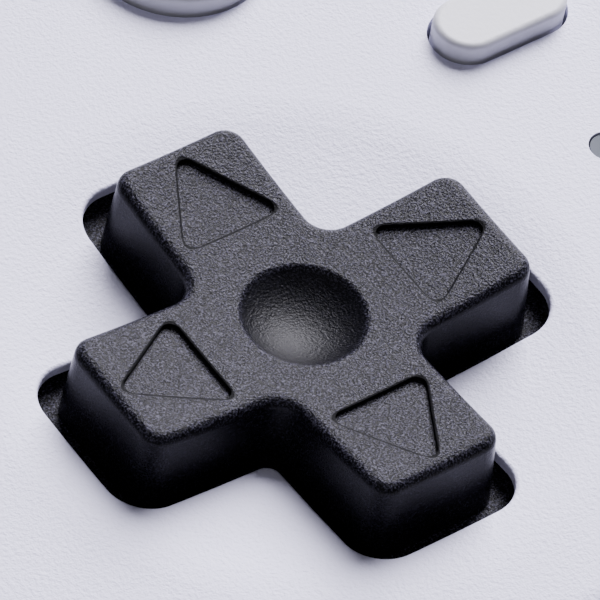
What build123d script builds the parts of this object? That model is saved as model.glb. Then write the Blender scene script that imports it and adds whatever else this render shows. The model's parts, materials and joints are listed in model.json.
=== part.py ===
from build123d import *
import math
import os

os.makedirs("parts", exist_ok=True)

# A compact two-handed game controller, lying face up. X runs left to right,
# Y runs from the player to the far edge, Z is up from the table. All in mm.

# Housing
body_length = 140.0
body_depth = 60.0
side_flat_length = 10.0
body_height = 18.0
parting_below_board = 2.4
wall = 2.0
floor_thickness = 2.0
deck_thickness = 1.6
deck_edge_radius = 2.2
rear_edge_share = 0.75
seam_chamfer = 0.25
lip_height = 1.0
lip_thickness = 0.9
fit_gap = 0.1
slide_gap = 0.35
running_gap = 0.05
overrun = 1.0

# Where the two thumb clusters lie, and their round hollows
cluster_from_side = 32.0
cluster_from_near_edge = 22.5
hollow_radius = 16.0
hollow_depth = 1.28
hollow_rim_radius = 12.0
pad_skin_skirt = 1.1
cross_skin = 0.6
button_skin = 1.1

# Cross
cross_length = 24.1
cross_width = 7.65
cross_centre_rise = 2.25
cross_end_rise = 0.97
cross_draft = 4.5
cross_corner_radius = 1.1
cross_inner_radius = 1.6
cross_edge_radius = 0.6
dish_radius = 3.29
dish_depth = 1.05
dish_lip_radius = 0.2
arrow_base_reach = 6.2
arrow_tip_reach = 11.7
arrow_half_base = 3.15
arrow_corner_radius = 0.55
arrow_depth = 0.25
cross_slot_length = 27.4
cross_slot_width = 10.15
cross_slot_corner_radius = 2.3
cross_slot_inner_radius = 0.8
slot_edge_radius = 0.2
cross_flange_cover = 0.55
cross_flange_thickness = 0.9
cross_flange_clearance = 0.6
cross_flange_gap = 0.15
cross_wall = 1.2
cross_core_roof = 2.0
pivot_ball_radius = 2.0
pivot_boss_wall = 1.4
pivot_boss_length = 1.6
pivot_seat_radius = 3.2
pivot_seat_height = 1.5
plunger_reach = 9.0
plunger_radius = 1.9
cross_tilt = 2.4

# Four round thumb buttons
face_button_radius = 5.2
face_button_reach = 9.5
face_button_rise = 2.2
face_button_dome = 0.55
face_button_edge_radius = 0.6
face_button_travel = 1.2
flange_cover = 0.9
flange_thickness = 0.9
key_width = 1.6
key_depth = 0.5
stem_radius = 2.6

# Pill buttons and round buttons on the deck
pill_length = 8.1
pill_width = 3.75
pill_share_of_cluster_x = 0.41
pill_from_cluster_y = 13.05
round_button_radius = 5.0
round_from_cluster_x = 10.3
round_from_cluster_y = 25.9
deck_button_gap = 0.2
deck_button_rise = 1.2
deck_button_edge_radius = 0.35
deck_button_travel = 0.8
deck_stem_radius = 1.5

# Status lights
light_count = 4
light_from_cluster_x = 22.3
light_from_cluster_y = 3.05
light_radius = 0.9
light_recess = 0.1
guide_bar_width = 3.0
guide_bar_thickness = 1.3
guide_leg_gap = 0.4
led_length = 1.6
led_width = 0.8
led_height = 0.7

# Circuit board and what lies on it
board_below_deck = 7.6
board_thickness = 1.2
board_edge_gap = 0.7
board_from_far_edge = 8.5
board_tongue_left = 9.0
board_tongue_side_gap = 4.0
board_tongue_from_far_edge = 2.4
membrane_thickness = 0.8
membrane_radius = 14.2
membrane_hole_gap = 0.5
dome_spare_height = 1.0
dome_base_radius = 3.7
dome_top_radius = 2.5
dome_wall = 0.7
dome_touch_gap = 0.1
strip_end_reach = 6.4
strip_width = 7.4
strip_dome_base_radius = 2.8
strip_dome_top_radius = 1.7
tact_width = 6.0
tact_height = 1.8
tact_plunger_radius = 1.5
chip_size = 7.0
chip_height = 1.0
chip_from_near_edge = 14.0
crystal_length = 3.2
crystal_width = 2.5
crystal_height = 0.8
crystal_gap = 1.2

# Screws and their bosses
case_screw_from_side = 12.0
case_screw_from_far_edge = 17.0
middle_screw_from_near_edge = 6.5
case_screw_radius = 1.0
case_screw_head_radius = 1.9
case_screw_head_height = 1.5
case_screw_bite = 6.0
screw_well_radius = 2.5
screw_well_depth = 4.0
screw_well_wall = 1.2
top_boss_radius = 2.8
board_screw_from_side = 24.0
board_screw_from_far_edge = 16.0
board_screw_near_x = 18.0
board_screw_from_near_edge = 8.0
board_screw_radius = 0.8
board_screw_head_radius = 1.6
board_screw_head_height = 1.0
board_screw_bite = 4.0
board_boss_radius = 2.4
boss_hole_spare = 0.5
cross_socket_width = 0.5
cross_socket_length = 2.0
cross_socket_depth = 0.6

# Battery and its lead
battery_length = 40.0
battery_width = 30.0
battery_room_above = 2.7
battery_y = -3.0
battery_edge_share = 0.25
lead_radius = 0.45
lead_spacing = 2.0
lead_bend_radius = 0.9
lead_run = 2.0
plug_length = 6.0
plug_depth = 4.0
plug_height = 2.6

# Charging port and pairing button in the far edge
port_width = 8.94
port_height = 3.26
port_depth = 7.3
port_metal = 0.3
port_window_gap = 0.3
port_proud = 0.2
tongue_width = 6.7
tongue_thickness = 0.7
tongue_short = 1.4
pair_radius = 1.7
pair_flange_cover = 0.6
pair_flange_thickness = 0.8
pair_proud = 0.5
pair_travel = 0.4
pair_edge_radius = 0.2
side_switch_width = 4.5
side_switch_depth = 3.2
side_switch_height = 3.4
side_plunger_width = 2.4
side_plunger_height = 1.4

# Shoulder buttons, on upright pins at their inner ends
shoulder_inner_from_side = 49.0
shoulder_outer_from_side = 10.0
shoulder_proud = 1.6
shoulder_depth_inside = 3.2
shoulder_edge_radius = 0.8
shoulder_pin_from_side = 46.5
shoulder_pin_from_far_edge = 4.2
pin_radius = 1.0
shoulder_lug_radius = 2.3
shoulder_stop_length = 2.6
shoulder_stop_thickness = 0.9
shoulder_swing = 2.5
shoulder_switch_from_side = 35.0
pusher_width = 2.0
pusher_length = 1.5
post_wall = 1.1
pin_seat_depth = 1.0
pin_foot_depth = 3.0

# Triggers, on level pins under the shoulder buttons
trigger_inner_from_side = 43.0
trigger_outer_from_side = 13.0
trigger_proud = 4.5
trigger_depth_inside = 1.0
trigger_low = 3.4
trigger_gap = 0.5
trigger_top_radius = 1.0
trigger_lower_share = 0.4
trigger_pin_from_far_edge = 5.5
trigger_pin_below_board = 2.5
trigger_barrel_radius = 2.1
trigger_barrel_inner_from_side = 37.0
trigger_barrel_outer_from_side = 21.0
trigger_rib_thickness = 2.0
trigger_rib_depth = 4.0
trigger_rib_side_gap = 0.4
trigger_swing = 10.0
trigger_nub_length = 3.4
trigger_nub_height = 1.4
trigger_nub_from_side = 28.0
spring_wire_radius = 0.3
spring_coil_radius = 1.6
spring_turns = 3.5
spring_pitch = 0.8
spring_leg_length = 3.0
daughter_board_length = 12.0
daughter_board_thickness = 1.2
daughter_board_room_above = 1.2
daughter_board_from_far_edge = 9.7

# Levels and places that follow from the housing's three sizes
half_length = body_length / 2
half_depth = body_depth / 2
body_corner_radius = half_depth - side_flat_length / 2
deck_under = body_height - deck_thickness
board_top = body_height - board_below_deck
board_under = board_top - board_thickness
parting_height = board_top - parting_below_board
rear_edge_radius = rear_edge_share * parting_height
cluster_x = half_length - cluster_from_side
cluster_y = cluster_from_near_edge - half_depth
case_screw_x = half_length - case_screw_from_side
case_screw_y = half_depth - case_screw_from_far_edge
middle_screw_y = middle_screw_from_near_edge - half_depth
board_screw_far_x = half_length - board_screw_from_side
board_screw_far_y = half_depth - board_screw_from_far_edge
board_screw_near_y = board_screw_from_near_edge - half_depth
board_far_edge = half_depth - board_from_far_edge
board_tongue_edge = half_depth - board_tongue_from_far_edge
chip_y = chip_from_near_edge - half_depth
battery_thickness = board_under - floor_thickness - battery_room_above
battery_edge_radius = battery_edge_share * battery_thickness
shoulder_inner_x = half_length - shoulder_inner_from_side
shoulder_outer_x = half_length - shoulder_outer_from_side
shoulder_low = board_top
shoulder_pin_x = half_length - shoulder_pin_from_side
shoulder_pin_y = half_depth - shoulder_pin_from_far_edge
shoulder_switch_x = half_length - shoulder_switch_from_side
trigger_inner_x = half_length - trigger_inner_from_side
trigger_outer_x = half_length - trigger_outer_from_side
trigger_lower_radius = trigger_lower_share * (shoulder_low - trigger_gap - trigger_low)
trigger_pin_y = half_depth - trigger_pin_from_far_edge
trigger_pin_z = board_top - trigger_pin_below_board
trigger_barrel_inner_x = half_length - trigger_barrel_inner_from_side
trigger_barrel_outer_x = half_length - trigger_barrel_outer_from_side
trigger_nub_x = half_length - trigger_nub_from_side
daughter_board_height = board_under - floor_thickness - daughter_board_room_above
daughter_board_y = half_depth - daughter_board_from_far_edge
board_tongue_right = shoulder_inner_x - board_tongue_side_gap
pair_x = (port_width / 2 + shoulder_inner_x) / 2

# The hollow, the cross and its flange, which stays under the deck's skin at full tilt
hollow_sphere = (hollow_radius**2 + hollow_depth**2) / (2 * hollow_depth)
hollow_floor = body_height - hollow_depth
cross_centre_top = body_height + cross_centre_rise
cross_end = cross_length / 2
cross_half = cross_width / 2
cross_top_sphere = (cross_end**2 + cross_end_rise**2) / (2 * cross_end_rise)
tilt_rise = math.sin(math.radians(cross_tilt))
flange_end = cross_slot_length / 2 + cross_flange_cover
flange_side = cross_slot_width / 2 + cross_flange_cover
flange_inner_reach = cross_slot_width / math.sqrt(2)
flange_outer_reach = math.hypot(flange_end, flange_side)
skin_level = hollow_floor - cross_skin - cross_flange_gap
flange_inner_level = (skin_level + flange_inner_reach**2 / (2 * hollow_sphere)
                      - cross_slot_width * tilt_rise)
flange_outer_level = (skin_level + flange_outer_reach**2 / (2 * hollow_sphere)
                      - (flange_end + flange_side) * tilt_rise)
flange_sphere = (flange_outer_reach**2 - flange_inner_reach**2) / (
    2 * (flange_outer_level - flange_inner_level))
cross_flange_top = flange_inner_level - flange_inner_reach**2 / (2 * flange_sphere)
cross_flange_under = cross_flange_top - cross_flange_thickness

# Heights over the board, and the places of the small controls
dome_height = face_button_travel + dome_spare_height
dome_top = board_top + membrane_thickness + dome_height
plunger_low = dome_top + dome_touch_gap
ball_z = board_top + dome_touch_gap + pivot_ball_radius
pill_x = pill_share_of_cluster_x * cluster_x
pill_y = cluster_y + pill_from_cluster_y
round_x = cluster_x - round_from_cluster_x
round_y = cluster_y + round_from_cluster_y
light_y = cluster_y + light_from_cluster_y
light_spacing = 2 * (cluster_x - light_from_cluster_x) / (light_count - 1)
strip_length = 2 * (pill_x + strip_end_reach)
tact_top = plunger_low - deck_button_travel - fit_gap
shoulder_foot_top = shoulder_low - slide_gap
port_z = board_top + port_height / 2
pair_z = board_top + pair_radius + pair_flange_cover + fit_gap
frame_shift = -trigger_proud / 2


def outline(grow=0.0):
    """The housing seen from above, grown outwards by a distance."""
    return RectangleRounded(body_length + 2 * grow, body_depth + 2 * grow, body_corner_radius + grow)


def slab(sketch, low, high):
    """A flat shape given height from one level to another."""
    return extrude(Plane.XY.offset(low) * sketch, amount=high - low)


def post(x, y, low, high, radius):
    """An upright round column between two levels."""
    return Pos(x, y, low) * Cylinder(radius, high - low, align=(Align.CENTER, Align.CENTER, Align.MIN))


def block(x_span, y_span, z_span):
    """A straight block between two corners."""
    size = [abs(span[1] - span[0]) for span in (x_span, y_span, z_span)]
    middle = [(span[1] + span[0]) / 2 for span in (x_span, y_span, z_span)]
    return Pos(*middle) * Box(*size)


def rod_x(x_span, y, z, radius):
    """A level round rod along X."""
    middle = (x_span[0] + x_span[1]) / 2
    return Pos(middle, y, z) * Rot(0, 90, 0) * Cylinder(radius, abs(x_span[1] - x_span[0]))


def rod_y(x, y_span, z, radius):
    """A level round rod along Y."""
    middle = (y_span[0] + y_span[1]) / 2
    return Pos(x, middle, z) * Rot(90, 0, 0) * Cylinder(radius, abs(y_span[1] - y_span[0]))


def other_hand(shape):
    """The same piece for the other side."""
    return mirror(shape, Plane.YZ)


def cross_sketch(half_reach, half_width, corner_radius, inner_radius):
    """A plus shape with rounded ends and rounded inner corners."""
    plus = Rectangle(2 * half_reach, 2 * half_width) + Rectangle(2 * half_width, 2 * half_reach)
    between = (half_reach + half_width) / 2
    ends = [v for v in plus.vertices() if max(abs(v.X), abs(v.Y)) > between]
    plus = fillet(ends, corner_radius)
    inner = [v for v in plus.vertices() if max(abs(v.X), abs(v.Y)) < (half_width + between) / 2]
    return fillet(inner, inner_radius)


def hollow_ball(x, y, drop=0.0):
    """The large ball whose underside is the floor of a thumb hollow."""
    return Pos(x, y, hollow_floor + hollow_sphere - drop) * Rot(90, 0, 0) * Sphere(hollow_sphere)


def pill_sketch(grow=0.0):
    """The pill button's outline."""
    return SlotOverall(pill_length + 2 * grow, pill_width + 2 * grow)


def edges_inside(shape, x, y, reach, lowest, longest):
    """The short edges of a shape near an upright line and over a level."""
    return [
        e for e in shape.edges()
        if e.bounding_box().min.Z > lowest and e.length < longest
        and math.hypot(e.center().X - x, e.center().Y - y) < reach
    ]


def case_screw_places():
    """The five case screws seen from above."""
    corners = [(sx * case_screw_x, sy * case_screw_y) for sx in (-1, 1) for sy in (-1, 1)]
    return corners + [(0, middle_screw_y)]


def board_screw_places():
    """The four board screws seen from above."""
    far = [(s * board_screw_far_x, board_screw_far_y) for s in (-1, 1)]
    return far + [(s * board_screw_near_x, board_screw_near_y) for s in (-1, 1)]


def face_button_places():
    """The four thumb buttons round the right cluster's middle."""
    turns = {"east": 0, "north": 90, "west": 180, "south": 270}
    return {
        name: (
            cluster_x + face_button_reach * math.cos(math.radians(turn)),
            cluster_y + face_button_reach * math.sin(math.radians(turn)),
        )
        for name, turn in turns.items()
    }


def shoulder_window(side):
    """The openings in the far wall that a shoulder button and a trigger work through."""
    deep = half_depth - body_corner_radius / 2 + overrun
    out = half_depth + overrun
    middle = (shoulder_low + shoulder_low - trigger_gap) / 2
    upper = block(
        (side * (shoulder_inner_x - slide_gap), side * (shoulder_outer_x + slide_gap)),
        (deep, out),
        (middle, deck_under),
    )
    lower = block(
        (side * (trigger_inner_x - slide_gap), side * (trigger_outer_x + slide_gap)),
        (deep, out),
        (floor_thickness, middle),
    )
    return upper + lower


def port_window():
    """The rounded opening in the far wall for the charging plug."""
    wide = port_width + 2 * port_window_gap
    tall = port_height + 2 * port_window_gap
    start = Plane((0, half_depth + overrun, port_z), x_dir=(1, 0, 0), z_dir=(0, -1, 0))
    return extrude(start * SlotOverall(wide, tall), amount=wall + 2 * overrun)


def top_shell():
    """Front half of the housing with hollows, slots, guides and screw bosses."""
    shell = slab(outline(), parting_height, body_height)
    shell = fillet(shell.faces().sort_by(Axis.Z)[-1].edges(), deck_edge_radius)
    shell = chamfer(shell.faces().sort_by(Axis.Z)[0].edges(), seam_chamfer)
    shell -= slab(outline(-wall), parting_height - overrun, deck_under)
    shell -= slab(outline(lip_thickness - wall + fit_gap), parting_height - overrun,
                  parting_height + lip_height + fit_gap)
    for side, skin in ((-1, cross_skin), (1, button_skin)):
        x = side * cluster_x
        pad = post(x, cluster_y, board_top + overrun, deck_under + overrun / 2,
                   hollow_radius + pad_skin_skirt)
        shell += pad & hollow_ball(x, cluster_y, skin)
        shell -= hollow_ball(x, cluster_y)
        rim_reach = hollow_radius + overrun
        rim = edges_inside(shell, x, cluster_y, rim_reach, body_height - running_gap, 2 * math.pi * rim_reach)
        shell = fillet(rim, hollow_rim_radius)
    centre = Pos(-cluster_x, cluster_y)
    slot = cross_sketch(cross_slot_length / 2, cross_slot_width / 2, cross_slot_corner_radius,
                        cross_slot_inner_radius)
    shell -= slab(centre * slot, parting_height, body_height + overrun)
    slot_reach = cross_slot_length / 2
    mouth = edges_inside(shell, -cluster_x, cluster_y, slot_reach + overrun, hollow_floor + fit_gap,
                         slot_reach)
    shell = fillet(mouth, slot_edge_radius)
    pocket_grow = cross_flange_cover + cross_flange_clearance
    pocket = cross_sketch(cross_slot_length / 2 + pocket_grow, cross_slot_width / 2 + pocket_grow,
                          cross_slot_corner_radius + pocket_grow, cross_slot_inner_radius)
    pocket_space = slab(centre * pocket, parting_height, body_height)
    shell -= pocket_space - hollow_ball(-cluster_x, cluster_y, cross_skin)
    for x, y in face_button_places().values():
        shell -= post(x, y, parting_height, body_height + overrun, face_button_radius + slide_gap)
    for side in (-1, 1):
        pill_hole = Pos(side * pill_x, pill_y) * pill_sketch(deck_button_gap)
        shell -= slab(pill_hole, parting_height, body_height + overrun)
        shell -= post(side * round_x, round_y, parting_height, body_height + overrun,
                      round_button_radius + deck_button_gap)
        shell -= shoulder_window(side)
    for x in light_places():
        shell -= post(x, light_y, parting_height, body_height + overrun, light_radius + fit_gap)
    shell -= port_window()
    shell -= rod_y(pair_x, (half_depth - wall - overrun, half_depth + overrun), pair_z,
                   pair_radius + slide_gap)
    for x, y in case_screw_places():
        shell += post(x, y, parting_height, deck_under + overrun / 2, top_boss_radius)
        shell -= post(x, y, parting_height - overrun, parting_height + case_screw_bite + boss_hole_spare,
                      case_screw_radius + running_gap)
    for side in (-1, 1):
        shell -= post(side * shoulder_pin_x, shoulder_pin_y, deck_under - overrun,
                      deck_under + pin_seat_depth, pin_radius + running_gap)
    return shell


def trigger_rib_spans():
    """Where along X the two ribs that hold a trigger's pin stand."""
    gap = trigger_rib_side_gap
    outer = (trigger_barrel_outer_x + gap, trigger_barrel_outer_x + gap + trigger_rib_thickness)
    inner_far = trigger_barrel_inner_x - spring_pitch * spring_turns - 2 * gap - 2 * spring_wire_radius
    return outer, (inner_far - trigger_rib_thickness, inner_far)


def rear_shell():
    """Rear half of the housing with its floor, screw wells, board bosses and pin ribs."""
    envelope = slab(outline(), 0, parting_height)
    envelope = fillet(envelope.faces().sort_by(Axis.Z)[0].edges(), rear_edge_radius)
    envelope = chamfer(envelope.faces().sort_by(Axis.Z)[-1].edges(), seam_chamfer)
    inside = slab(outline(-wall), floor_thickness, parting_height + overrun)
    inside = fillet(inside.faces().sort_by(Axis.Z)[0].edges(), rear_edge_radius - wall)
    shell = envelope - inside
    lip = outline(lip_thickness - wall) - outline(-wall)
    shell += slab(lip, parting_height - overrun, parting_height + lip_height)
    for side in (-1, 1):
        shell -= shoulder_window(side)
    inner = Part()
    for x, y in case_screw_places():
        inner += post(x, y, floor_thickness / 2, parting_height, screw_well_radius + screw_well_wall)
    for x, y in board_screw_places():
        inner += post(x, y, floor_thickness / 2, board_under, board_boss_radius)
    for side in (-1, 1):
        for span in trigger_rib_spans():
            inner += block(
                (side * span[0], side * span[1]),
                (trigger_pin_y - trigger_rib_depth / 2, trigger_pin_y + trigger_rib_depth / 2),
                (floor_thickness / 2, trigger_pin_z + trigger_barrel_radius),
            )
        inner += post(side * shoulder_pin_x, shoulder_pin_y, floor_thickness / 2, shoulder_foot_top,
                      pin_radius + post_wall)
    above = slab(outline(-wall), parting_height - overrun, body_height)
    shell += inner & (envelope + above)
    for x, y in case_screw_places():
        shell -= post(x, y, -overrun, screw_well_depth, screw_well_radius)
        shell -= post(x, y, 0, parting_height + overrun, case_screw_radius + fit_gap)
    for x, y in board_screw_places():
        shell -= post(x, y, board_under - board_screw_bite - boss_hole_spare, board_under + overrun,
                      board_screw_radius + running_gap)
    for side in (-1, 1):
        outer_rib, inner_rib = trigger_rib_spans()
        shell -= rod_x((side * (inner_rib[0] - overrun), side * (outer_rib[1] + overrun)), trigger_pin_y,
                       trigger_pin_z, pin_radius + running_gap)
        shell -= post(side * shoulder_pin_x, shoulder_pin_y, shoulder_foot_top - pin_foot_depth,
                      shoulder_foot_top + overrun, pin_radius + running_gap)
    return shell


def light_places():
    """The status lights along the deck."""
    first = -light_spacing * (light_count - 1) / 2
    return [first + light_spacing * i for i in range(light_count)]


def light_guide():
    """One clear moulding: a bar under the deck with a lens and a leg for each lamp."""
    half = light_spacing * (light_count - 1) / 2 + guide_bar_width / 2
    guide = block((-half, half), (light_y - guide_bar_width / 2, light_y + guide_bar_width / 2),
                  (deck_under - guide_bar_thickness, deck_under))
    for x in light_places():
        guide += post(x, light_y, deck_under - overrun / 2, body_height - light_recess, light_radius)
        guide += post(x, light_y, board_top + led_height + guide_leg_gap, deck_under - overrun / 2,
                      light_radius)
    return guide


def status_leds():
    """Four small lamps soldered under the light guide's legs."""
    lamps = []
    for x in light_places():
        lamps.append(block((x - led_length / 2, x + led_length / 2),
                           (light_y - led_width / 2, light_y + led_width / 2),
                           (board_top, board_top + led_height)))
    return Compound(lamps)


def main_board():
    """The circuit board, held on four bosses, with a tongue for the charging port."""
    keep = Pos(0, board_far_edge - half_depth) * Rectangle(body_length, body_depth)
    plate = outline(-wall - board_edge_gap) & keep
    tongue = Pos((board_tongue_right - board_tongue_left) / 2, 0) * Rectangle(
        board_tongue_left + board_tongue_right, 2 * board_tongue_edge)
    plate += tongue & Pos(0, half_depth) * Rectangle(body_length, body_depth)
    board = slab(plate, board_under, board_top)
    for x, y in case_screw_places():
        board -= post(x, y, parting_height, board_top + overrun, top_boss_radius + slide_gap)
    for x, y in board_screw_places():
        board -= post(x, y, parting_height, board_top + overrun, board_screw_radius + fit_gap)
    return board


def rubber_dome(x, y, base_radius, top_radius):
    """One collapsing rubber dome, hollow underneath."""
    low = board_top + membrane_thickness
    outer = Pos(x, y, low) * Cone(base_radius, top_radius, dome_height,
                                  align=(Align.CENTER, Align.CENTER, Align.MIN))
    hollow_height = dome_height + membrane_thickness - dome_wall
    inner = Pos(x, y, board_top) * Cone(base_radius - dome_wall, top_radius - dome_wall, hollow_height,
                                        align=(Align.CENTER, Align.CENTER, Align.MIN))
    return outer, inner


def membrane(sketch, places, base_radius, top_radius):
    """A rubber sheet with a dome at each place."""
    sheet = slab(sketch, board_top, board_top + membrane_thickness)
    for x, y in places:
        outer, inner = rubber_dome(x, y, base_radius, top_radius)
        sheet = sheet + outer - inner
    return sheet


def cross_arm_places(reach):
    """Points on the four arms of the cross at one reach."""
    return [(-cluster_x + reach, cluster_y), (-cluster_x, cluster_y + reach),
            (-cluster_x - reach, cluster_y), (-cluster_x, cluster_y - reach)]


def dpad_membrane():
    """Rubber sheet under the cross, open in the middle for the pivot."""
    ring = Circle(membrane_radius) - Circle(pivot_seat_radius + membrane_hole_gap)
    sheet = Pos(-cluster_x, cluster_y) * ring
    return membrane(sheet, cross_arm_places(plunger_reach), dome_base_radius, dome_top_radius)


def face_membrane():
    """Rubber sheet under the four round thumb buttons."""
    sheet = Pos(cluster_x, cluster_y) * Circle(membrane_radius)
    return membrane(sheet, face_button_places().values(), dome_base_radius, dome_top_radius)


def pill_membrane():
    """Rubber strip under the two pill buttons."""
    sheet = Pos(0, pill_y) * RectangleRounded(strip_length, strip_width, strip_width / 4)
    places = [(-pill_x, pill_y), (pill_x, pill_y)]
    return membrane(sheet, places, strip_dome_base_radius, strip_dome_top_radius)


def dpad():
    """The cross: concave top, thumb dish, four sunken arrows, flange, plungers and pivot socket."""
    slope = math.tan(math.radians(cross_draft))
    high = cross_centre_top + cross_end_rise
    levels = []
    for z in (cross_flange_top, high + overrun):
        grow = (high - z) * slope
        shape = cross_sketch(cross_end + grow, cross_half + grow, cross_corner_radius + grow,
                             cross_inner_radius - grow)
        levels.append(Plane.XY.offset(z) * shape)
    body = loft(levels, ruled=True)
    top_ball = Rot(90, 0, 0) * Sphere(cross_top_sphere)
    body -= Pos(0, 0, cross_centre_top + cross_top_sphere) * top_ball
    rim = [e for e in body.edges() if e.bounding_box().min.Z > cross_flange_top + cross_centre_rise]
    body = fillet(rim, cross_edge_radius)
    dish_ball = (dish_radius**2 + dish_depth**2) / (2 * dish_depth)
    body -= Pos(0, 0, cross_centre_top - dish_depth + dish_ball) * Rot(90, 0, 0) * Sphere(dish_ball)
    near_dish = dish_radius + 2 * fit_gap
    lip = [e for e in body.edges() if e.bounding_box().max.X < near_dish
           and e.bounding_box().min.X > -near_dish and e.bounding_box().min.Z > cross_flange_top]
    body = fillet(lip, dish_lip_radius)
    arrow = Polygon((arrow_tip_reach, 0), (arrow_base_reach, arrow_half_base),
                    (arrow_base_reach, -arrow_half_base), align=None)
    arrow = fillet(arrow.vertices(), arrow_corner_radius)
    sink = slab(arrow, cross_flange_top, cross_centre_top + 2 * cross_end_rise)
    sink = sink & Pos(0, 0, cross_centre_top + cross_top_sphere - arrow_depth) * top_ball
    for turn in range(4):
        body -= Rot(0, 0, 90 * turn) * sink
    flange = cross_sketch(flange_end, flange_side, cross_slot_corner_radius + cross_flange_cover,
                          cross_slot_inner_radius)
    flange_ball = Pos(0, 0, cross_flange_top + flange_sphere) * Rot(90, 0, 0) * Sphere(flange_sphere)
    body += slab(flange, cross_flange_under, body_height) - flange_ball
    core_inner = pivot_ball_radius + pivot_boss_wall + cross_wall
    core_half = cross_half - cross_wall
    for turn in range(4):
        core = block((core_inner, cross_end - cross_wall), (-core_half, core_half),
                     (cross_flange_under - overrun, cross_centre_top - cross_core_roof))
        body -= Rot(0, 0, 90 * turn) * core
        plunger = post(plunger_reach, 0, plunger_low, cross_centre_top - cross_core_roof + overrun / 2,
                       plunger_radius)
        body += Rot(0, 0, 90 * turn) * plunger
    boss_low = cross_flange_under - pivot_boss_length
    body += post(0, 0, boss_low, cross_flange_top, pivot_ball_radius + pivot_boss_wall)
    body -= Pos(0, 0, ball_z) * Sphere(pivot_ball_radius + running_gap)
    body -= post(0, 0, boss_low - overrun, ball_z, pivot_ball_radius + running_gap)
    return Pos(-cluster_x, cluster_y) * body


def dpad_pivot_ball():
    """The small ball that the cross rocks on."""
    return Pos(-cluster_x, cluster_y, ball_z) * Sphere(pivot_ball_radius)


def dpad_pivot_seat():
    """The cup on the board that the pivot ball sits in."""
    seat = post(-cluster_x, cluster_y, board_top, board_top + pivot_seat_height, pivot_seat_radius)
    return seat - Pos(-cluster_x, cluster_y, ball_z) * Sphere(pivot_ball_radius + running_gap)


def face_button(x, y):
    """A round thumb button with a crowned top, a keyed flange and a stem."""
    top = body_height + face_button_rise
    lowest_skin = hollow_floor - button_skin
    flange_top = lowest_skin - slide_gap
    cap = post(0, 0, flange_top - flange_thickness, top, face_button_radius)
    crown = (face_button_radius**2 + face_button_dome**2) / (2 * face_button_dome)
    cap = cap & Pos(0, 0, top - crown) * Sphere(crown)
    rim = [e for e in cap.edges() if e.bounding_box().min.Z > body_height]
    cap = fillet(rim, face_button_edge_radius)
    cap += post(0, 0, flange_top - flange_thickness, flange_top, face_button_radius + flange_cover)
    key = face_button_radius + flange_cover
    cap -= block((key - key_depth, key + overrun), (-key_width / 2, key_width / 2),
                 (flange_top - flange_thickness - overrun, flange_top + overrun / 2))
    cap -= post(0, 0, flange_top - flange_thickness - overrun, hollow_floor, face_button_radius - cross_wall)
    cap += post(0, 0, plunger_low, hollow_floor + overrun / 2, stem_radius)
    return Pos(x, y) * cap


def deck_button(sketch, grown, tip, x, y):
    """A low button through the deck: cap, flange under the deck and stem."""
    top = body_height + deck_button_rise
    flange_top = deck_under - slide_gap
    cap = slab(sketch, flange_top - flange_thickness, top)
    cap = fillet(cap.faces().sort_by(Axis.Z)[-1].edges(), deck_button_edge_radius)
    cap += slab(grown, flange_top - flange_thickness, flange_top)
    cap += post(0, 0, tip, flange_top, deck_stem_radius)
    return Pos(x, y) * cap


def tact_switch(x, y):
    """A small push switch: square body and round plunger."""
    body = block((x - tact_width / 2, x + tact_width / 2), (y - tact_width / 2, y + tact_width / 2),
                 (board_top, board_top + tact_height))
    return body + post(x, y, board_top + tact_height, tact_top, tact_plunger_radius)


def shoulder_plan(inner_x, outer_x, proud, inside):
    """The strip of the left far edge between two distances from the housing's outline."""
    strip = outline(proud) - outline(-inside)
    window = Pos(-(inner_x + outer_x) / 2, half_depth) * Rectangle(outer_x - inner_x, body_depth)
    return strip & window


def shoulder_button():
    """Left shoulder button: a curved bar with a hinge lug, a pusher and a stop."""
    high = deck_under - slide_gap
    bar = slab(shoulder_plan(shoulder_inner_x, shoulder_outer_x, shoulder_proud, shoulder_depth_inside),
               shoulder_low, high)
    outer_edges = [
        e for e in bar.edges()
        if e.center().Y > half_depth - body_corner_radius / 2
        and abs(e.length - (high - shoulder_low)) > fit_gap
        and is_outside(e)
    ]
    bar = fillet(outer_edges, shoulder_edge_radius)
    bar += post(-shoulder_pin_x, shoulder_pin_y, shoulder_low, high, shoulder_lug_radius)
    bar -= post(-shoulder_pin_x, shoulder_pin_y, shoulder_low - overrun, high + overrun,
                pin_radius + running_gap)
    inner_y = half_depth - shoulder_depth_inside
    bar += block((-shoulder_switch_x - pusher_width / 2, -shoulder_switch_x + pusher_width / 2),
                 (inner_y - pusher_length, inner_y + overrun),
                 (pair_z - pusher_width / 2, pair_z + pusher_width / 2))
    stop_inside = shoulder_depth_inside - shoulder_stop_thickness
    stop = outline(-stop_inside) - outline(-shoulder_depth_inside)
    low_x = shoulder_outer_x - overrun
    stop = stop & Pos(-(low_x + shoulder_outer_x + shoulder_stop_length) / 2, half_depth) * Rectangle(
        overrun + shoulder_stop_length, body_depth)
    bar += slab(stop, shoulder_low + shoulder_edge_radius, high - shoulder_edge_radius)
    return bar


def is_outside(edge):
    """True for an edge that follows the outer side of a shoulder button or a trigger."""
    middle = edge.position_at(0.5)
    corner_x = half_length - body_corner_radius
    corner_y = half_depth - body_corner_radius
    if abs(middle.X) > corner_x:
        reach = math.hypot(abs(middle.X) - corner_x, middle.Y - corner_y)
    else:
        reach = middle.Y - corner_y
    return reach > body_corner_radius + fit_gap


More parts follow.
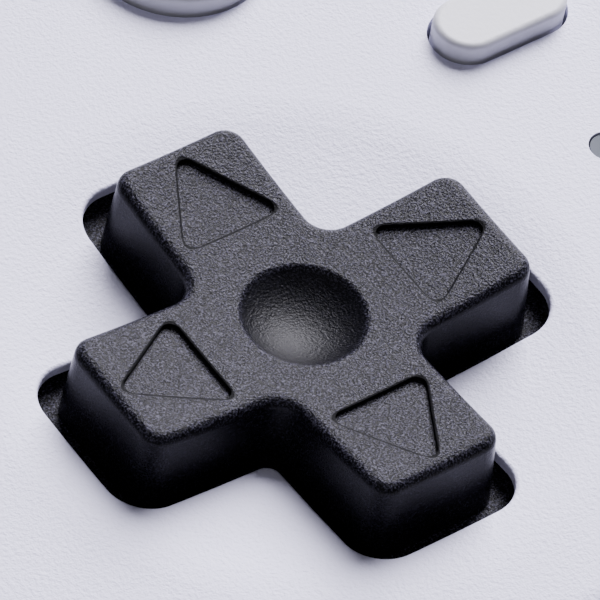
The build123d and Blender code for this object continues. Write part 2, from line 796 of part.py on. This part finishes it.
def trigger():
    """Left trigger: a deep curved bar hung from a barrel, with a nub that meets its switch."""
    high = shoulder_low - trigger_gap
    bar = slab(shoulder_plan(trigger_inner_x, trigger_outer_x, trigger_proud, trigger_depth_inside),
               trigger_low, high)
    along = [e for e in bar.edges() if is_outside(e) and abs(e.length - (high - trigger_low)) > fit_gap]
    upper = [e for e in along if e.center().Z > (high + trigger_low) / 2]
    bar = fillet(upper, trigger_top_radius)
    along = [e for e in bar.edges() if is_outside(e) and e.bounding_box().max.Z < trigger_low + fit_gap]
    bar = fillet(along, trigger_lower_radius)
    barrel_span = (-trigger_barrel_outer_x, -trigger_barrel_inner_x)
    barrel = rod_x(barrel_span, trigger_pin_y, trigger_pin_z, trigger_barrel_radius)
    web = block(barrel_span, (trigger_pin_y, half_depth - trigger_depth_inside + overrun / 2),
                (trigger_pin_z - trigger_barrel_radius, trigger_pin_z + trigger_barrel_radius))
    arm = slab(outline(trigger_proud / 2), trigger_low, high)
    bar += (web & arm) + barrel
    nub_z = trigger_low + trigger_nub_height / 2
    inner_y = half_depth - trigger_depth_inside
    bar += block((-trigger_nub_x - pusher_width / 2, -trigger_nub_x + pusher_width / 2),
                 (inner_y - trigger_nub_length, inner_y + overrun / 2),
                 (nub_z, nub_z + trigger_nub_height))
    bar -= rod_x((-trigger_barrel_outer_x - overrun, -trigger_barrel_inner_x + overrun), trigger_pin_y,
                 trigger_pin_z, pin_radius + running_gap)
    return bar


def trigger_pin():
    """The level pin through the ribs and the left trigger's barrel."""
    outer, inner = trigger_rib_spans()
    return rod_x((-outer[1], -inner[0]), trigger_pin_y, trigger_pin_z, pin_radius)


def shoulder_pin():
    """The upright pin of the left shoulder button, from the floor post to the deck."""
    return post(-shoulder_pin_x, shoulder_pin_y, shoulder_foot_top - pin_foot_depth,
                deck_under + pin_seat_depth - fit_gap, pin_radius)


def trigger_spring():
    """The wound spring round the left trigger's pin, with two straight legs."""
    length = spring_turns * spring_pitch
    start = -trigger_barrel_inner_x + trigger_rib_side_gap + spring_wire_radius
    coil = Helix(pitch=spring_pitch, height=length, radius=spring_coil_radius)
    coil = Pos(start, trigger_pin_y, trigger_pin_z) * Rot(0, 90, 0) * coil
    ring = Plane(coil @ 0, z_dir=coil % 0) * Circle(spring_wire_radius)
    spring = sweep(ring, path=coil, is_frenet=True)
    for where, way in ((0, -1), (1, 1)):
        leg = Plane(coil @ where, z_dir=(coil % where) * way) * Circle(spring_wire_radius)
        spring += extrude(leg, amount=spring_leg_length)
    return spring


def daughter_board():
    """The small upright board behind the left trigger."""
    middle = -trigger_nub_x
    return block((middle - daughter_board_length / 2, middle + daughter_board_length / 2),
                 (daughter_board_y, daughter_board_y + daughter_board_thickness),
                 (floor_thickness, floor_thickness + daughter_board_height))


def trigger_switch():
    """The push switch on the small upright board, facing the left trigger's nub."""
    face = daughter_board_y + daughter_board_thickness
    z = trigger_low + trigger_nub_height
    nub_tip = half_depth - trigger_depth_inside - trigger_nub_length
    swing = math.radians(trigger_swing)
    nub_drop = trigger_pin_z - trigger_low - trigger_nub_height / 2
    travel = (nub_tip - trigger_pin_y) * (1 - math.cos(swing)) + nub_drop * math.sin(swing)
    tip = nub_tip - travel - fit_gap
    body_depth_here = (tip - face) / 2
    body = block((-trigger_nub_x - side_switch_width / 2, -trigger_nub_x + side_switch_width / 2),
                 (face, face + body_depth_here),
                 (z - side_switch_height / 3, z + side_switch_height / 4))
    return body + rod_y(-trigger_nub_x, (face, tip), z, side_plunger_height / 2)


def side_switch(x, body_front, tip):
    """A push switch lying on the board that is pressed from the far side."""
    body = block((x - side_switch_width / 2, x + side_switch_width / 2),
                 (body_front - side_switch_depth, body_front),
                 (board_top, board_top + side_switch_height))
    plunger = block((x - side_plunger_width / 2, x + side_plunger_width / 2),
                    (body_front - overrun, tip),
                    (pair_z - side_plunger_height / 2, pair_z + side_plunger_height / 2))
    return body + plunger


def shoulder_switch():
    """The switch that the left shoulder button's pusher reaches."""
    travel = (shoulder_switch_x - shoulder_pin_x) * math.sin(math.radians(shoulder_swing))
    tip = half_depth - shoulder_depth_inside - pusher_length - travel - fit_gap
    return side_switch(-shoulder_switch_x, board_far_edge - fit_gap, tip)


def pair_button():
    """The small round button in the far wall that starts pairing."""
    inner_face = half_depth - wall - fit_gap
    cap = rod_y(pair_x, (inner_face - pair_flange_thickness, half_depth + pair_proud), pair_z, pair_radius)
    cap = fillet(cap.faces().sort_by(Axis.Y)[-1].edges(), pair_edge_radius)
    flange = rod_y(pair_x, (inner_face - pair_flange_thickness, inner_face), pair_z,
                   pair_radius + pair_flange_cover)
    return cap + flange


def pair_switch():
    """The switch behind the pairing button."""
    tip = half_depth - wall - fit_gap - pair_flange_thickness - pair_travel - fit_gap
    return side_switch(pair_x, tip - overrun, tip)


def usb_port_shell():
    """The drawn metal shell of the charging port."""
    front = half_depth - port_proud
    start = Plane((0, front, port_z), x_dir=(1, 0, 0), z_dir=(0, -1, 0))
    tube = extrude(start * SlotOverall(port_width, port_height), amount=port_depth)
    bore = extrude(start * SlotOverall(port_width - 2 * port_metal, port_height - 2 * port_metal),
                   amount=port_depth - port_metal)
    return tube - bore


def usb_port_tongue():
    """The contact tongue inside the charging port."""
    front = half_depth - port_proud
    return block((-tongue_width / 2, tongue_width / 2),
                 (front - port_depth + port_metal, front - tongue_short),
                 (port_z - tongue_thickness / 2, port_z + tongue_thickness / 2))


def screw(head_radius, head_height, shank_radius, head_seat, tip, x, y, points_up):
    """A pan head screw with a cross socket, from its seat to its tip."""
    if points_up:
        head = (head_seat - head_height, head_seat)
        open_face = head[0]
    else:
        head = (head_seat, head_seat + head_height)
        open_face = head[1]
    body = post(x, y, head[0], head[1], head_radius)
    body += post(x, y, min(head_seat, tip), max(head_seat, tip), shank_radius)
    socket_span = (open_face - cross_socket_depth, open_face + cross_socket_depth)
    bars = ((cross_socket_length, cross_socket_width), (cross_socket_width, cross_socket_length))
    for long_x, long_y in bars:
        body -= block((x - long_x / 2, x + long_x / 2), (y - long_y / 2, y + long_y / 2), socket_span)
    return body


def case_screws():
    """The five screws that hold the two halves together."""
    return Compound([
        screw(case_screw_head_radius, case_screw_head_height, case_screw_radius, screw_well_depth,
              parting_height + case_screw_bite, x, y, True)
        for x, y in case_screw_places()
    ])


def board_screws():
    """The four screws that hold the circuit board down."""
    return Compound([
        screw(board_screw_head_radius, board_screw_head_height, board_screw_radius, board_top,
              board_under - board_screw_bite, x, y, False)
        for x, y in board_screw_places()
    ])


def battery():
    """The flat rechargeable cell on the floor."""
    cell = block((-battery_length / 2, battery_length / 2),
                 (battery_y - battery_width / 2, battery_y + battery_width / 2),
                 (floor_thickness, floor_thickness + battery_thickness))
    return fillet(cell.edges().filter_by(Axis.Y), battery_edge_radius)


def plug_near_face():
    """The side of the battery plug that the lead enters."""
    return battery_y + battery_width / 2 + lead_run + lead_run


def battery_plug():
    """The battery's plug under the circuit board."""
    near = plug_near_face()
    return block((-plug_length / 2, plug_length / 2), (near, near + plug_depth),
                 (board_under - plug_height, board_under))


def battery_lead():
    """The two short wires from the cell up to the plug."""
    wires = []
    start = battery_y + battery_width / 2
    low = floor_thickness + battery_thickness / 2
    high = board_under - plug_height / 2
    for x in (-lead_spacing / 2, lead_spacing / 2):
        route = FilletPolyline((x, start, low), (x, start + lead_run, low), (x, start + lead_run, high),
                               (x, plug_near_face(), high), radius=lead_bend_radius)
        wires.append(sweep(Plane(route @ 0, z_dir=route % 0) * Circle(lead_radius), path=route))
    return Compound(wires)


def main_chip():
    """The controller's processor."""
    return block((-chip_size / 2, chip_size / 2), (chip_y - chip_size / 2, chip_y + chip_size / 2),
                 (board_top, board_top + chip_height))


def timing_crystal():
    """The small metal timing part beside the processor."""
    low_x = chip_size / 2 + crystal_gap
    return block((low_x, low_x + crystal_length), (chip_y - crystal_width / 2, chip_y + crystal_width / 2),
                 (board_top, board_top + crystal_height))


pieces = {
    "top_shell": top_shell(),
    "rear_shell": rear_shell(),
    "light_guide": light_guide(),
    "status_leds": status_leds(),
    "main_board": main_board(),
    "main_chip": main_chip(),
    "timing_crystal": timing_crystal(),
    "dpad_membrane": dpad_membrane(),
    "face_membrane": face_membrane(),
    "pill_membrane": pill_membrane(),
    "dpad": dpad(),
    "dpad_pivot_ball": dpad_pivot_ball(),
    "dpad_pivot_seat": dpad_pivot_seat(),
    "usb_port_shell": usb_port_shell(),
    "usb_port_tongue": usb_port_tongue(),
    "pair_button": pair_button(),
    "pair_switch": pair_switch(),
    "case_screws": case_screws(),
    "board_screws": board_screws(),
    "battery": battery(),
    "battery_plug": battery_plug(),
    "battery_lead": battery_lead(),
}

for name, (x, y) in face_button_places().items():
    pieces["face_button_" + name] = face_button(x, y)

left_hand = {
    "pill_button": deck_button(pill_sketch(), pill_sketch(flange_cover), plunger_low, -pill_x, pill_y),
    "round_button": deck_button(Circle(round_button_radius), Circle(round_button_radius + flange_cover),
                                tact_top + deck_button_travel + fit_gap, -round_x, round_y),
    "round_switch": tact_switch(-round_x, round_y),
    "shoulder_button": shoulder_button(),
    "shoulder_pin": shoulder_pin(),
    "shoulder_switch": shoulder_switch(),
    "trigger": trigger(),
    "trigger_pin": trigger_pin(),
    "trigger_spring": trigger_spring(),
    "trigger_board": daughter_board(),
    "trigger_switch": trigger_switch(),
}
for name, shape in left_hand.items():
    pieces[name + "_left"] = shape
    pieces[name + "_right"] = other_hand(shape)

for name, shape in pieces.items():
    placed = Pos(0, frame_shift, 0) * shape
    placed.label = name
    export_step(placed, "parts/" + name + ".step")
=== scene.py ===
import json
import math

import bmesh
import bpy
from mathutils import Matrix, Vector


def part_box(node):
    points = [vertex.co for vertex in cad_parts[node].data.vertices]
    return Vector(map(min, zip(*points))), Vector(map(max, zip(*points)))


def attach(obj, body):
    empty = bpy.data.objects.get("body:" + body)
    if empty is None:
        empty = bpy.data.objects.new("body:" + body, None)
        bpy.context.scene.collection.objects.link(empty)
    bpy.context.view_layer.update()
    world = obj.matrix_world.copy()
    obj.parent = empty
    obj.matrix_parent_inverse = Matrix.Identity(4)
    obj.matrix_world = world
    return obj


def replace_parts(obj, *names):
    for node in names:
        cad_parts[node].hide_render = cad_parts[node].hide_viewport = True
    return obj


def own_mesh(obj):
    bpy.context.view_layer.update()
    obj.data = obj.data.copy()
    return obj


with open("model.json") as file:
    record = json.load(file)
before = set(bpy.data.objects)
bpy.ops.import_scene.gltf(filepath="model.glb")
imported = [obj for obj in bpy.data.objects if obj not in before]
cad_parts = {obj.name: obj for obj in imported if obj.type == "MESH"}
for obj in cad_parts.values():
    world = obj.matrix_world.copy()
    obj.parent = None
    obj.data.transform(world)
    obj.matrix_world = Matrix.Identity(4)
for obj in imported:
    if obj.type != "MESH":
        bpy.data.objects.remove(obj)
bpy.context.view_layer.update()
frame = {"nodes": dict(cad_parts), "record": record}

# Sizes and places below are in millimetres, in the part's own frame.
MM = 0.001


def low_high(node):
    """The lowest and highest corners of a CAD node, in millimetres."""
    low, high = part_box(node)
    return low / MM, high / MM


def middle_of(node):
    """The middle of a CAD node's box, in millimetres."""
    low, high = low_high(node)
    return (low + high) / 2


cross_middle = middle_of("dpad")
deck_height = low_high("top_shell")[1].z


# Camera


def aim_camera():
    """A long lens looking down on the cross from the front left."""
    turn = -0.766
    rise = 0.857
    roll = 0.197
    distance = 349.76
    aside, away, above_deck = 1.396, 1.935, 0.65
    lens = 410.0
    back = Vector((
        math.sin(turn) * math.cos(rise),
        -math.cos(turn) * math.cos(rise),
        math.sin(rise),
    ))
    right = (-back).cross(Vector((0, 0, 1))).normalized()
    up = right.cross(-back)
    turned_right = right * math.cos(roll) + up * math.sin(roll)
    turned_up = up * math.cos(roll) - right * math.sin(roll)
    target = Vector((
        cross_middle.x + aside, cross_middle.y + away, deck_height + above_deck,
    ))
    camera = bpy.data.objects.new("camera", bpy.data.cameras.new("camera"))
    camera.data.lens = lens
    camera.data.clip_start = 0.01
    axes = Matrix((turned_right, turned_up, back)).transposed()
    camera.matrix_world = Matrix.Translation((target + back * distance) * MM) @ axes.to_4x4()
    bpy.context.scene.collection.objects.link(camera)
    bpy.context.scene.camera = camera


# Materials


class Signal:
    """One output of a material's node; sums on it add Math nodes."""

    def __init__(self, tree, socket):
        self.tree = tree
        self.socket = socket

    def node(self, kind, settings=None, inputs=None, output=0):
        """Adds a node, sets it up, fills its inputs and gives one of its outputs."""
        made = self.tree.nodes.new(kind)
        for name, value in (settings or {}).items():
            if name == "stops":
                ramp = made.color_ramp
                for place, shade in value:
                    stop = ramp.elements.new(place)
                    stop.color = (shade, shade, shade, 1)
                ramp.elements.remove(ramp.elements[0])
                ramp.elements.remove(ramp.elements[-1])
            else:
                setattr(made, name, value)
        for name, value in (inputs or {}).items():
            if isinstance(value, Signal):
                self.tree.links.new(value.socket, made.inputs[name])
            else:
                made.inputs[name].default_value = value
        return Signal(self.tree, made.outputs[output]) if made.outputs else None

    def maths(self, operation, first, second):
        return self.node("ShaderNodeMath", {"operation": operation}, {0: first, 1: second})

    def __add__(self, other):
        return self.maths("ADD", self, other)

    __radd__ = __add__

    def __mul__(self, other):
        return self.maths("MULTIPLY", self, other)

    __rmul__ = __mul__

    def __sub__(self, other):
        return self.maths("SUBTRACT", self, other)

    def __rsub__(self, other):
        return self.maths("SUBTRACT", other, self)

    def __pow__(self, power):
        return self.maths("POWER", self, power)

    def __abs__(self):
        return self.maths("ABSOLUTE", self, 0.0)

    def larger(self, other):
        """The larger of this value and another."""
        return self.maths("MAXIMUM", self, other)

    def smaller(self, other):
        """The smaller of this value and another."""
        return self.maths("MINIMUM", self, other)

    def larger_eased(self, other, ease):
        """The larger of two values, rounded over where they meet."""
        return self.node(
            "ShaderNodeMath", {"operation": "SMOOTH_MAX"}, {0: self, 1: other, 2: ease}
        )

    def stretch(self, low, high, to_low=0.0, to_high=1.0):
        """Eases from one value to another while this one goes from low to high."""
        return self.node(
            "ShaderNodeMapRange", {"interpolation_type": "SMOOTHSTEP"},
            {"Value": self, "From Min": low, "From Max": high,
             "To Min": to_low, "To Max": to_high},
        )

    def noise(self, size, detail=3.0, roughness=0.5):
        """Cloudy noise whose patches are about one size across, in millimetres."""
        return self.node(
            "ShaderNodeTexNoise",
            None,
            {"Vector": self, "Scale": 1 / (size * MM), "Detail": detail, "Roughness": roughness},
        )

    def cells(self, size):
        """Distance to the middle of rounded cells of about one size, in millimetres."""
        return self.node(
            "ShaderNodeTexVoronoi",
            {"feature": "F1"},
            {"Vector": self, "Scale": 1 / (size * MM)},
            "Distance",
        )

    def ramp(self, *stops):
        """Shades of grey along a value."""
        return self.node("ShaderNodeValToRGB", {"stops": stops}, {"Fac": self})

    def blend(self, first, second):
        """A colour between two others, by this value."""
        return self.node(
            "ShaderNodeMix", {"data_type": "RGBA"}, {0: self, 6: first, 7: second}, 2
        )


def start_material(name):
    """A new material and the Object coordinates that its patterns read."""
    material = bpy.data.materials.new(name)
    material.use_nodes = True
    tree = material.node_tree
    tree.nodes.clear()
    coordinates = tree.nodes.new("ShaderNodeTexCoord")
    return material, Signal(tree, coordinates.outputs["Object"])


def finish_material(place, height=None, bump_depth=0.0, **looks):
    """Ends a material with its shader and, where it has one, its bump."""
    inputs = {name.replace("_", " "): value for name, value in looks.items()}
    if height is not None:
        inputs["Normal"] = place.node(
            "ShaderNodeBump", None, {"Height": height, "Distance": bump_depth * MM, "Strength": 1.0}
        )
    shader = place.node("ShaderNodeBsdfPrincipled", None, inputs)
    place.node("ShaderNodeOutputMaterial", None, {"Surface": shader})


def housing_plastic():
    """Light cool grey moulding with a fine spark-eroded grain."""
    material, place = start_material("housing_plastic")
    grain = place.noise(0.24, 2.0, 0.55)
    fine = place.noise(0.1, 2.0)
    patch = place.noise(9.0, 2.0)
    colour = patch.blend((0.71, 0.70, 0.91, 1), (0.74, 0.73, 0.94, 1))
    finish_material(
        place, grain + fine * 0.35, 0.06,
        Base_Color=colour, Roughness=0.48 + 0.1 * fine, Specular_IOR_Level=0.4,
    )
    return material


# Places on the cross's top, measured from its middle
dish_edge = (3.0, 3.35)
arrow_base, arrow_tip, arrow_half_base = 6.2, 11.7, 3.15
arrow_corner_ease = 1.65
arrow_lip_reach = (-0.05, 0.14)


def from_cross_middle(place):
    """How far a point is from the cross's middle, to the side and fore and aft, in millimetres."""
    spread = place.node("ShaderNodeSeparateXYZ", None, {"Vector": place}, "X")
    x = spread * (1 / MM) - cross_middle.x
    y = Signal(place.tree, spread.socket.node.outputs["Y"]) * (1 / MM) - cross_middle.y
    return abs(x), abs(y)


def outside_dish(x, y):
    """0 in the thumb dish and 1 around it."""
    return ((x * x + y * y) ** 0.5).stretch(*dish_edge)


def arrow_lip(x, y):
    """0 on the cross's top and -1 in its sunken arrows, with a narrow rounded lip between them."""
    along, across = x.larger(y), x.smaller(y)
    slope = math.atan2(arrow_half_base, arrow_tip - arrow_base)
    lean = (along - arrow_tip) * math.sin(slope)
    side, other_side = lean + across * math.cos(slope), lean - across * math.cos(slope)
    tip = side.larger_eased(other_side, arrow_corner_ease)
    edge = tip.larger_eased(arrow_base - along, arrow_corner_ease)
    return edge.stretch(*arrow_lip_reach, -1.0, 0.0)


def cross_plastic():
    """Black moulding: a leathery grain on what faces up and a satin skin on the sides, with painted
    glints on the upward grain and a painted shade line along the arrows' lips.
    """
    material, place = start_material("cross_plastic")
    normal = place.node("ShaderNodeNewGeometry", None, None, "Normal")
    upward = place.node("ShaderNodeSeparateXYZ", None, {"Vector": normal}, "Z")
    top = upward.stretch(0.35, 0.95, 0.25, 1.0)
    cells = place.cells(0.17)
    grain = place.noise(0.105, 3.0, 0.6)
    x, y = from_cross_middle(place)
    lip = arrow_lip(x, y)
    flat = outside_dish(x, y)
    height = (grain + cells * 0.4) * top * (0.6 + 0.4 * flat) + lip
    # A narrow line along the arrows' rounded lips: it roughens the surface there and paints a dark
    # shade line into the colour.
    lip_roughness_and_painted_shade = (lip * (lip + 1) * -6).smaller(1.0)
    # Painted glints: the grain's peaks are lightened in the base colour as painted highlights, on
    # upward faces only, few in the thumb dish and none on the lips' painted shade line.
    painted_glint_pattern = grain.ramp((0.47, 0.0), (0.62, 0.45), (0.74, 1.0))
    painted_glints = painted_glint_pattern * top * (0.15 + 0.85 * flat) * (1 - lip_roughness_and_painted_shade)
    colour = painted_glints.blend((0.002, 0.002, 0.003, 1), (0.1, 0.096, 0.14, 1))
    finish_material(
        place, height, 0.062,
        Base_Color=colour,
        Roughness=0.27 - 0.09 * flat + 0.12 * grain + 0.45 * lip_roughness_and_painted_shade,
        Specular_IOR_Level=0.08,
    )
    return material


def plain_plastic(name, colour, roughness, grain_size, grain_depth, gloss=0.5):
    """A moulded plastic with one even grain."""
    material, place = start_material(name)
    grain = place.noise(grain_size, 2.0)
    patch = place.noise(6.0, 2.0)
    tint = patch.blend(tuple(c * 0.94 for c in colour) + (1,), tuple(colour) + (1,))
    finish_material(
        place, grain, grain_depth,
        Base_Color=tint, Roughness=roughness + 0.06 * grain, Specular_IOR_Level=gloss,
    )
    return material


def metal(name, colour, roughness):
    """Plated metal with faint wear."""
    material, place = start_material(name)
    wear = place.noise(0.8, 4.0)
    finish_material(
        place, wear, 0.004,
        Base_Color=tuple(colour) + (1,), Metallic=1.0, Roughness=roughness + 0.15 * wear,
    )
    return material


def clear_lens():
    """Smoked clear plastic of the light guide."""
    material, place = start_material("clear_lens")
    haze = place.noise(0.5, 2.0)
    finish_material(
        place, haze, 0.003,
        Base_Color=(0.07, 0.08, 0.1, 1), Roughness=0.3 + 0.05 * haze, Specular_IOR_Level=0.05,
    )
    return material


finishes = {
    "housing": housing_plastic(),
    "cross_black": cross_plastic(),
    "button_black": plain_plastic(
        "button_plastic", (0.010, 0.010, 0.012), 0.26, 0.25, 0.005, gloss=0.22),
    "button_grey": plain_plastic("deck_button_plastic", (0.62, 0.62, 0.68), 0.5, 0.3, 0.012),
    "shoulder_black": plain_plastic(
        "shoulder_plastic", (0.012, 0.012, 0.014), 0.38, 0.2, 0.02, gloss=0.18),
    "clear_lens": clear_lens(),
    "lamp_white": plain_plastic("lamp_plastic", (0.8, 0.8, 0.76), 0.4, 0.3, 0.004),
    "circuit_board": plain_plastic("solder_mask", (0.01, 0.12, 0.05), 0.3, 0.5, 0.01),
    "chip_black": plain_plastic("chip_plastic", (0.02, 0.02, 0.02), 0.5, 0.2, 0.01),
    "switch_black": plain_plastic("switch_plastic", (0.02, 0.02, 0.02), 0.45, 0.3, 0.01),
    "rubber_grey": plain_plastic("silicone", (0.4, 0.4, 0.4), 0.7, 0.4, 0.01),
    "nylon_white": plain_plastic("nylon", (0.75, 0.74, 0.68), 0.45, 0.3, 0.01),
    "steel": metal("plated_steel", (0.6, 0.6, 0.6), 0.25),
    "screw_dark": metal("black_zinc", (0.12, 0.12, 0.13), 0.35),
    "battery_foil": metal("battery_foil", (0.55, 0.56, 0.58), 0.3),
    "lead_red": plain_plastic("wire_sleeve", (0.4, 0.02, 0.02), 0.5, 0.4, 0.01),
}

for row in frame["record"]["subparts"]:
    node = frame["nodes"][row["node"]]
    node.data.materials.clear()
    node.data.materials.append(finishes[row["material_slot"]])


# Rubber sheets under the buttons, with a dome under each button


def spun(profile, x, y, steps=48):
    """A closed form spun round an upright line from its profile of (radius, height) points."""
    mesh = bmesh.new()
    points = [mesh.verts.new((radius, 0, height)) for radius, height in profile]
    edges = [mesh.edges.new(pair) for pair in zip(points, points[1:])]
    bmesh.ops.spin(
        mesh, geom=points + edges, cent=(0, 0, 0), axis=(0, 0, 1), angle=math.tau, steps=steps,
        use_merge=True,
    )
    bmesh.ops.remove_doubles(mesh, verts=mesh.verts, dist=0.0005)
    bmesh.ops.translate(mesh, verts=mesh.verts, vec=(x, y, 0))
    return mesh


def add_piece(name, mesh, slot, body="shell"):
    """Turns a bmesh in millimetres into a finished piece that rides on a CAD body."""
    bmesh.ops.recalc_face_normals(mesh, faces=mesh.faces)
    bmesh.ops.scale(mesh, vec=(MM, MM, MM), verts=mesh.verts)
    data = bpy.data.meshes.new(name)
    mesh.to_mesh(data)
    mesh.free()
    for face in data.polygons:
        face.use_smooth = True
    data.set_sharp_from_angle(angle=math.radians(40))
    piece = bpy.data.objects.new(name, data)
    bpy.context.scene.collection.objects.link(piece)
    data.materials.append(finishes[slot])
    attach(piece, body)
    return piece


board_top = low_high("main_board")[1].z
sheet_thickness = 0.8
dome_height = 2.2
rim_width = 1.4
groove_depth = 0.2


def rubber_disc(name, x, y, hole, node):
    """A round rubber sheet with a raised rim, a groove and rounded edges."""
    low, high = low_high(node)
    reach = (high.x - low.x) / 2
    top = board_top + sheet_thickness
    groove = top - groove_depth
    outside = [
        (reach - rim_width, top), (reach - 1.2, groove), (reach - 0.9, groove), (reach - 0.7, top),
        (reach - 0.2, top), (reach, groove), (reach, board_top + 0.1), (reach - 0.1, board_top),
    ]
    eased_hole = [(hole, board_top + 0.15), (hole, top - 0.15), (hole + 0.15, top)]
    if hole:
        profile = eased_hole + outside + [(hole + 0.15, board_top), eased_hole[0]]
    else:
        profile = [(0, top)] + outside + [(0, board_top)]
    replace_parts(add_piece(name, spun(profile, x, y, 96), "rubber_grey"), node)


def is_level(edge):
    return abs(edge.verts[0].co.z - edge.verts[1].co.z) < 0.01


def rubber_strip(name, node):
    """A long rubber sheet with rounded corners and edges."""
    low, high = low_high(node)
    middle = Vector((
        (low.x + high.x) / 2, (low.y + high.y) / 2, board_top + sheet_thickness / 2,
    ))
    mesh = bmesh.new()
    bmesh.ops.create_cube(mesh, size=1.0)
    bmesh.ops.scale(
        mesh, vec=(high.x - low.x, high.y - low.y, sheet_thickness), verts=mesh.verts
    )
    bmesh.ops.translate(mesh, vec=middle, verts=mesh.verts)
    upright = [edge for edge in mesh.edges if not is_level(edge)]
    bmesh.ops.bevel(
        mesh, geom=upright, offset=1.8, segments=8, profile=0.5, affect="EDGES", material=-1
    )
    level = [edge for edge in mesh.edges if is_level(edge) and len(edge.link_faces) == 2]
    bmesh.ops.bevel(
        mesh, geom=level, offset=0.15, segments=2, profile=0.5, affect="EDGES", material=-1
    )
    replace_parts(add_piece(name, mesh, "rubber_grey"), node)


def rubber_dome(name, x, y, base, top, joint, press, node):
    """One hollow dome: a foot, a thin waist and a solid cap with a ring on it."""
    low = board_top + sheet_thickness
    high = low + dome_height
    outside = [
        (0, high), (top - 0.9, high), (top - 0.7, high - 0.08), (top - 0.5, high),
        (top - 0.2, high), (top, high - 0.2), (top + 0.02, high - 0.7),
        ((base + top) / 2, low + 0.8), (base - 0.2, low + 0.15), (base, low - 0.05),
    ]
    inside = [
        (base - 0.6, low - 0.05), (base - 0.7, low + 0.1), (top - 0.5, high - 0.8),
        (top - 0.8, high - 0.9), (top - 0.8, low + 0.9), (0, low + 0.9),
    ]
    piece = add_piece(name, spun(outside + inside, x, y), "rubber_grey")
    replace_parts(piece, node)
    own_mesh(piece)


# How far each kind of button presses its dome
cross_press = 0.45
thumb_press = 1.12
pill_press = 0.72

# Base and top radius of the large and the small domes
large_dome = (3.7, 2.5)
small_dome = (2.8, 1.7)

cross_reach = 9.0
rubber_disc("cross_rubber", cross_middle.x, cross_middle.y, large_dome[0], "dpad_membrane")
for arm, (x_way, y_way) in {
    "right": (1, 0), "far": (0, 1), "left": (-1, 0), "near": (0, -1)
}.items():
    rubber_dome(
        "cross_dome_" + arm,
        cross_middle.x + x_way * cross_reach, cross_middle.y + y_way * cross_reach,
        *large_dome, "dpad_tilt_side" if x_way else "dpad_tilt_fore_aft", cross_press,
        "dpad_membrane",
    )

buttons_middle = middle_of("face_membrane")
rubber_disc("buttons_rubber", buttons_middle.x, buttons_middle.y, 0, "face_membrane")
for side in ("east", "north", "west", "south"):
    button = middle_of("face_button_" + side)
    rubber_dome(
        "button_dome_" + side, button.x, button.y, *large_dome,
        "face_button_" + side + "_press", thumb_press, "face_membrane",
    )

rubber_strip("pill_rubber", "pill_membrane")
for side in ("left", "right"):
    button = middle_of("pill_button_" + side)
    rubber_dome(
        "pill_dome_" + side, button.x, button.y, *small_dome,
        "pill_button_" + side + "_press", pill_press, "pill_membrane",
    )


# Contacts in the charging port


contacts_in_row = 6
contact_spacing = 1.0
contact_size = (0.5, 3.0, 0.06)
contact_from_tip = 2.0


def port_contacts():
    """Two rows of plated contacts let into the tongue, each with eased edges."""
    low, high = low_high("usb_port_tongue")
    tongue_middle = (low.x + high.x) / 2
    for face, level in (("upper", high.z), ("lower", low.z)):
        for i in range(contacts_in_row):
            x = tongue_middle + (i - (contacts_in_row - 1) / 2) * contact_spacing
            mesh = bmesh.new()
            bmesh.ops.create_cube(mesh, size=1.0)
            bmesh.ops.scale(mesh, vec=contact_size, verts=mesh.verts)
            bmesh.ops.translate(mesh, vec=(x, high.y - contact_from_tip, level), verts=mesh.verts)
            bmesh.ops.bevel(
                mesh, geom=mesh.edges[:], offset=0.02, segments=2, profile=0.5, affect="EDGES",
                material=-1,
            )
            add_piece("port_contact_%s_%d" % (face, i + 1), mesh, "steel")


port_contacts()


# Floor, world and lights


def lay_floor():
    """A wide pale floor under the controller."""
    mesh = bmesh.new()
    bmesh.ops.create_grid(mesh, x_segments=1, y_segments=1, size=4.0)
    data = bpy.data.meshes.new("floor")
    mesh.to_mesh(data)
    mesh.free()
    floor = bpy.data.objects.new("floor", data)
    bpy.context.scene.collection.objects.link(floor)
    material, place = start_material("pale_floor")
    patch = place.noise(60.0, 2.0)
    finish_material(place, patch, 0.2, Base_Color=(0.72, 0.72, 0.74, 1), Roughness=0.7)
    data.materials.append(material)


def soft_light(name, turn, rise, distance, wide, tall, power, tint):
    """A soft rectangular light, aimed at the cross from a turn and a rise in degrees."""
    lamp = bpy.data.lights.new(name, "AREA")
    lamp.shape = "RECTANGLE"
    lamp.size = wide
    lamp.size_y = tall
    lamp.energy = power
    lamp.color = tint
    way = Vector((
        math.sin(math.radians(turn)) * math.cos(math.radians(rise)),
        math.cos(math.radians(turn)) * math.cos(math.radians(rise)),
        math.sin(math.radians(rise)),
    ))
    target = Vector((0, 0, deck_height)) * MM
    light = bpy.data.objects.new(name, lamp)
    light.location = target + way * distance
    light.rotation_euler = way.to_track_quat("Z", "Y").to_euler()
    bpy.context.scene.collection.objects.link(light)


def light_the_room(shade):
    """An even grey room."""
    world = bpy.data.worlds.new("room")
    world.use_nodes = True
    background = world.node_tree.nodes["Background"]
    background.inputs["Color"].default_value = (shade, shade, shade * 1.03, 1)
    bpy.context.scene.world = world


lay_floor()
soft_light(
    "key", turn=50, rise=38, distance=1.2, wide=0.7, tall=0.85, power=69, tint=(0.94, 0.92, 1.0)
)
soft_light(
    "fill", turn=-120, rise=40, distance=1.4, wide=1.4, tall=0.8, power=3, tint=(1.0, 0.97, 1.0)
)
light_the_room(0.05)
aim_camera()
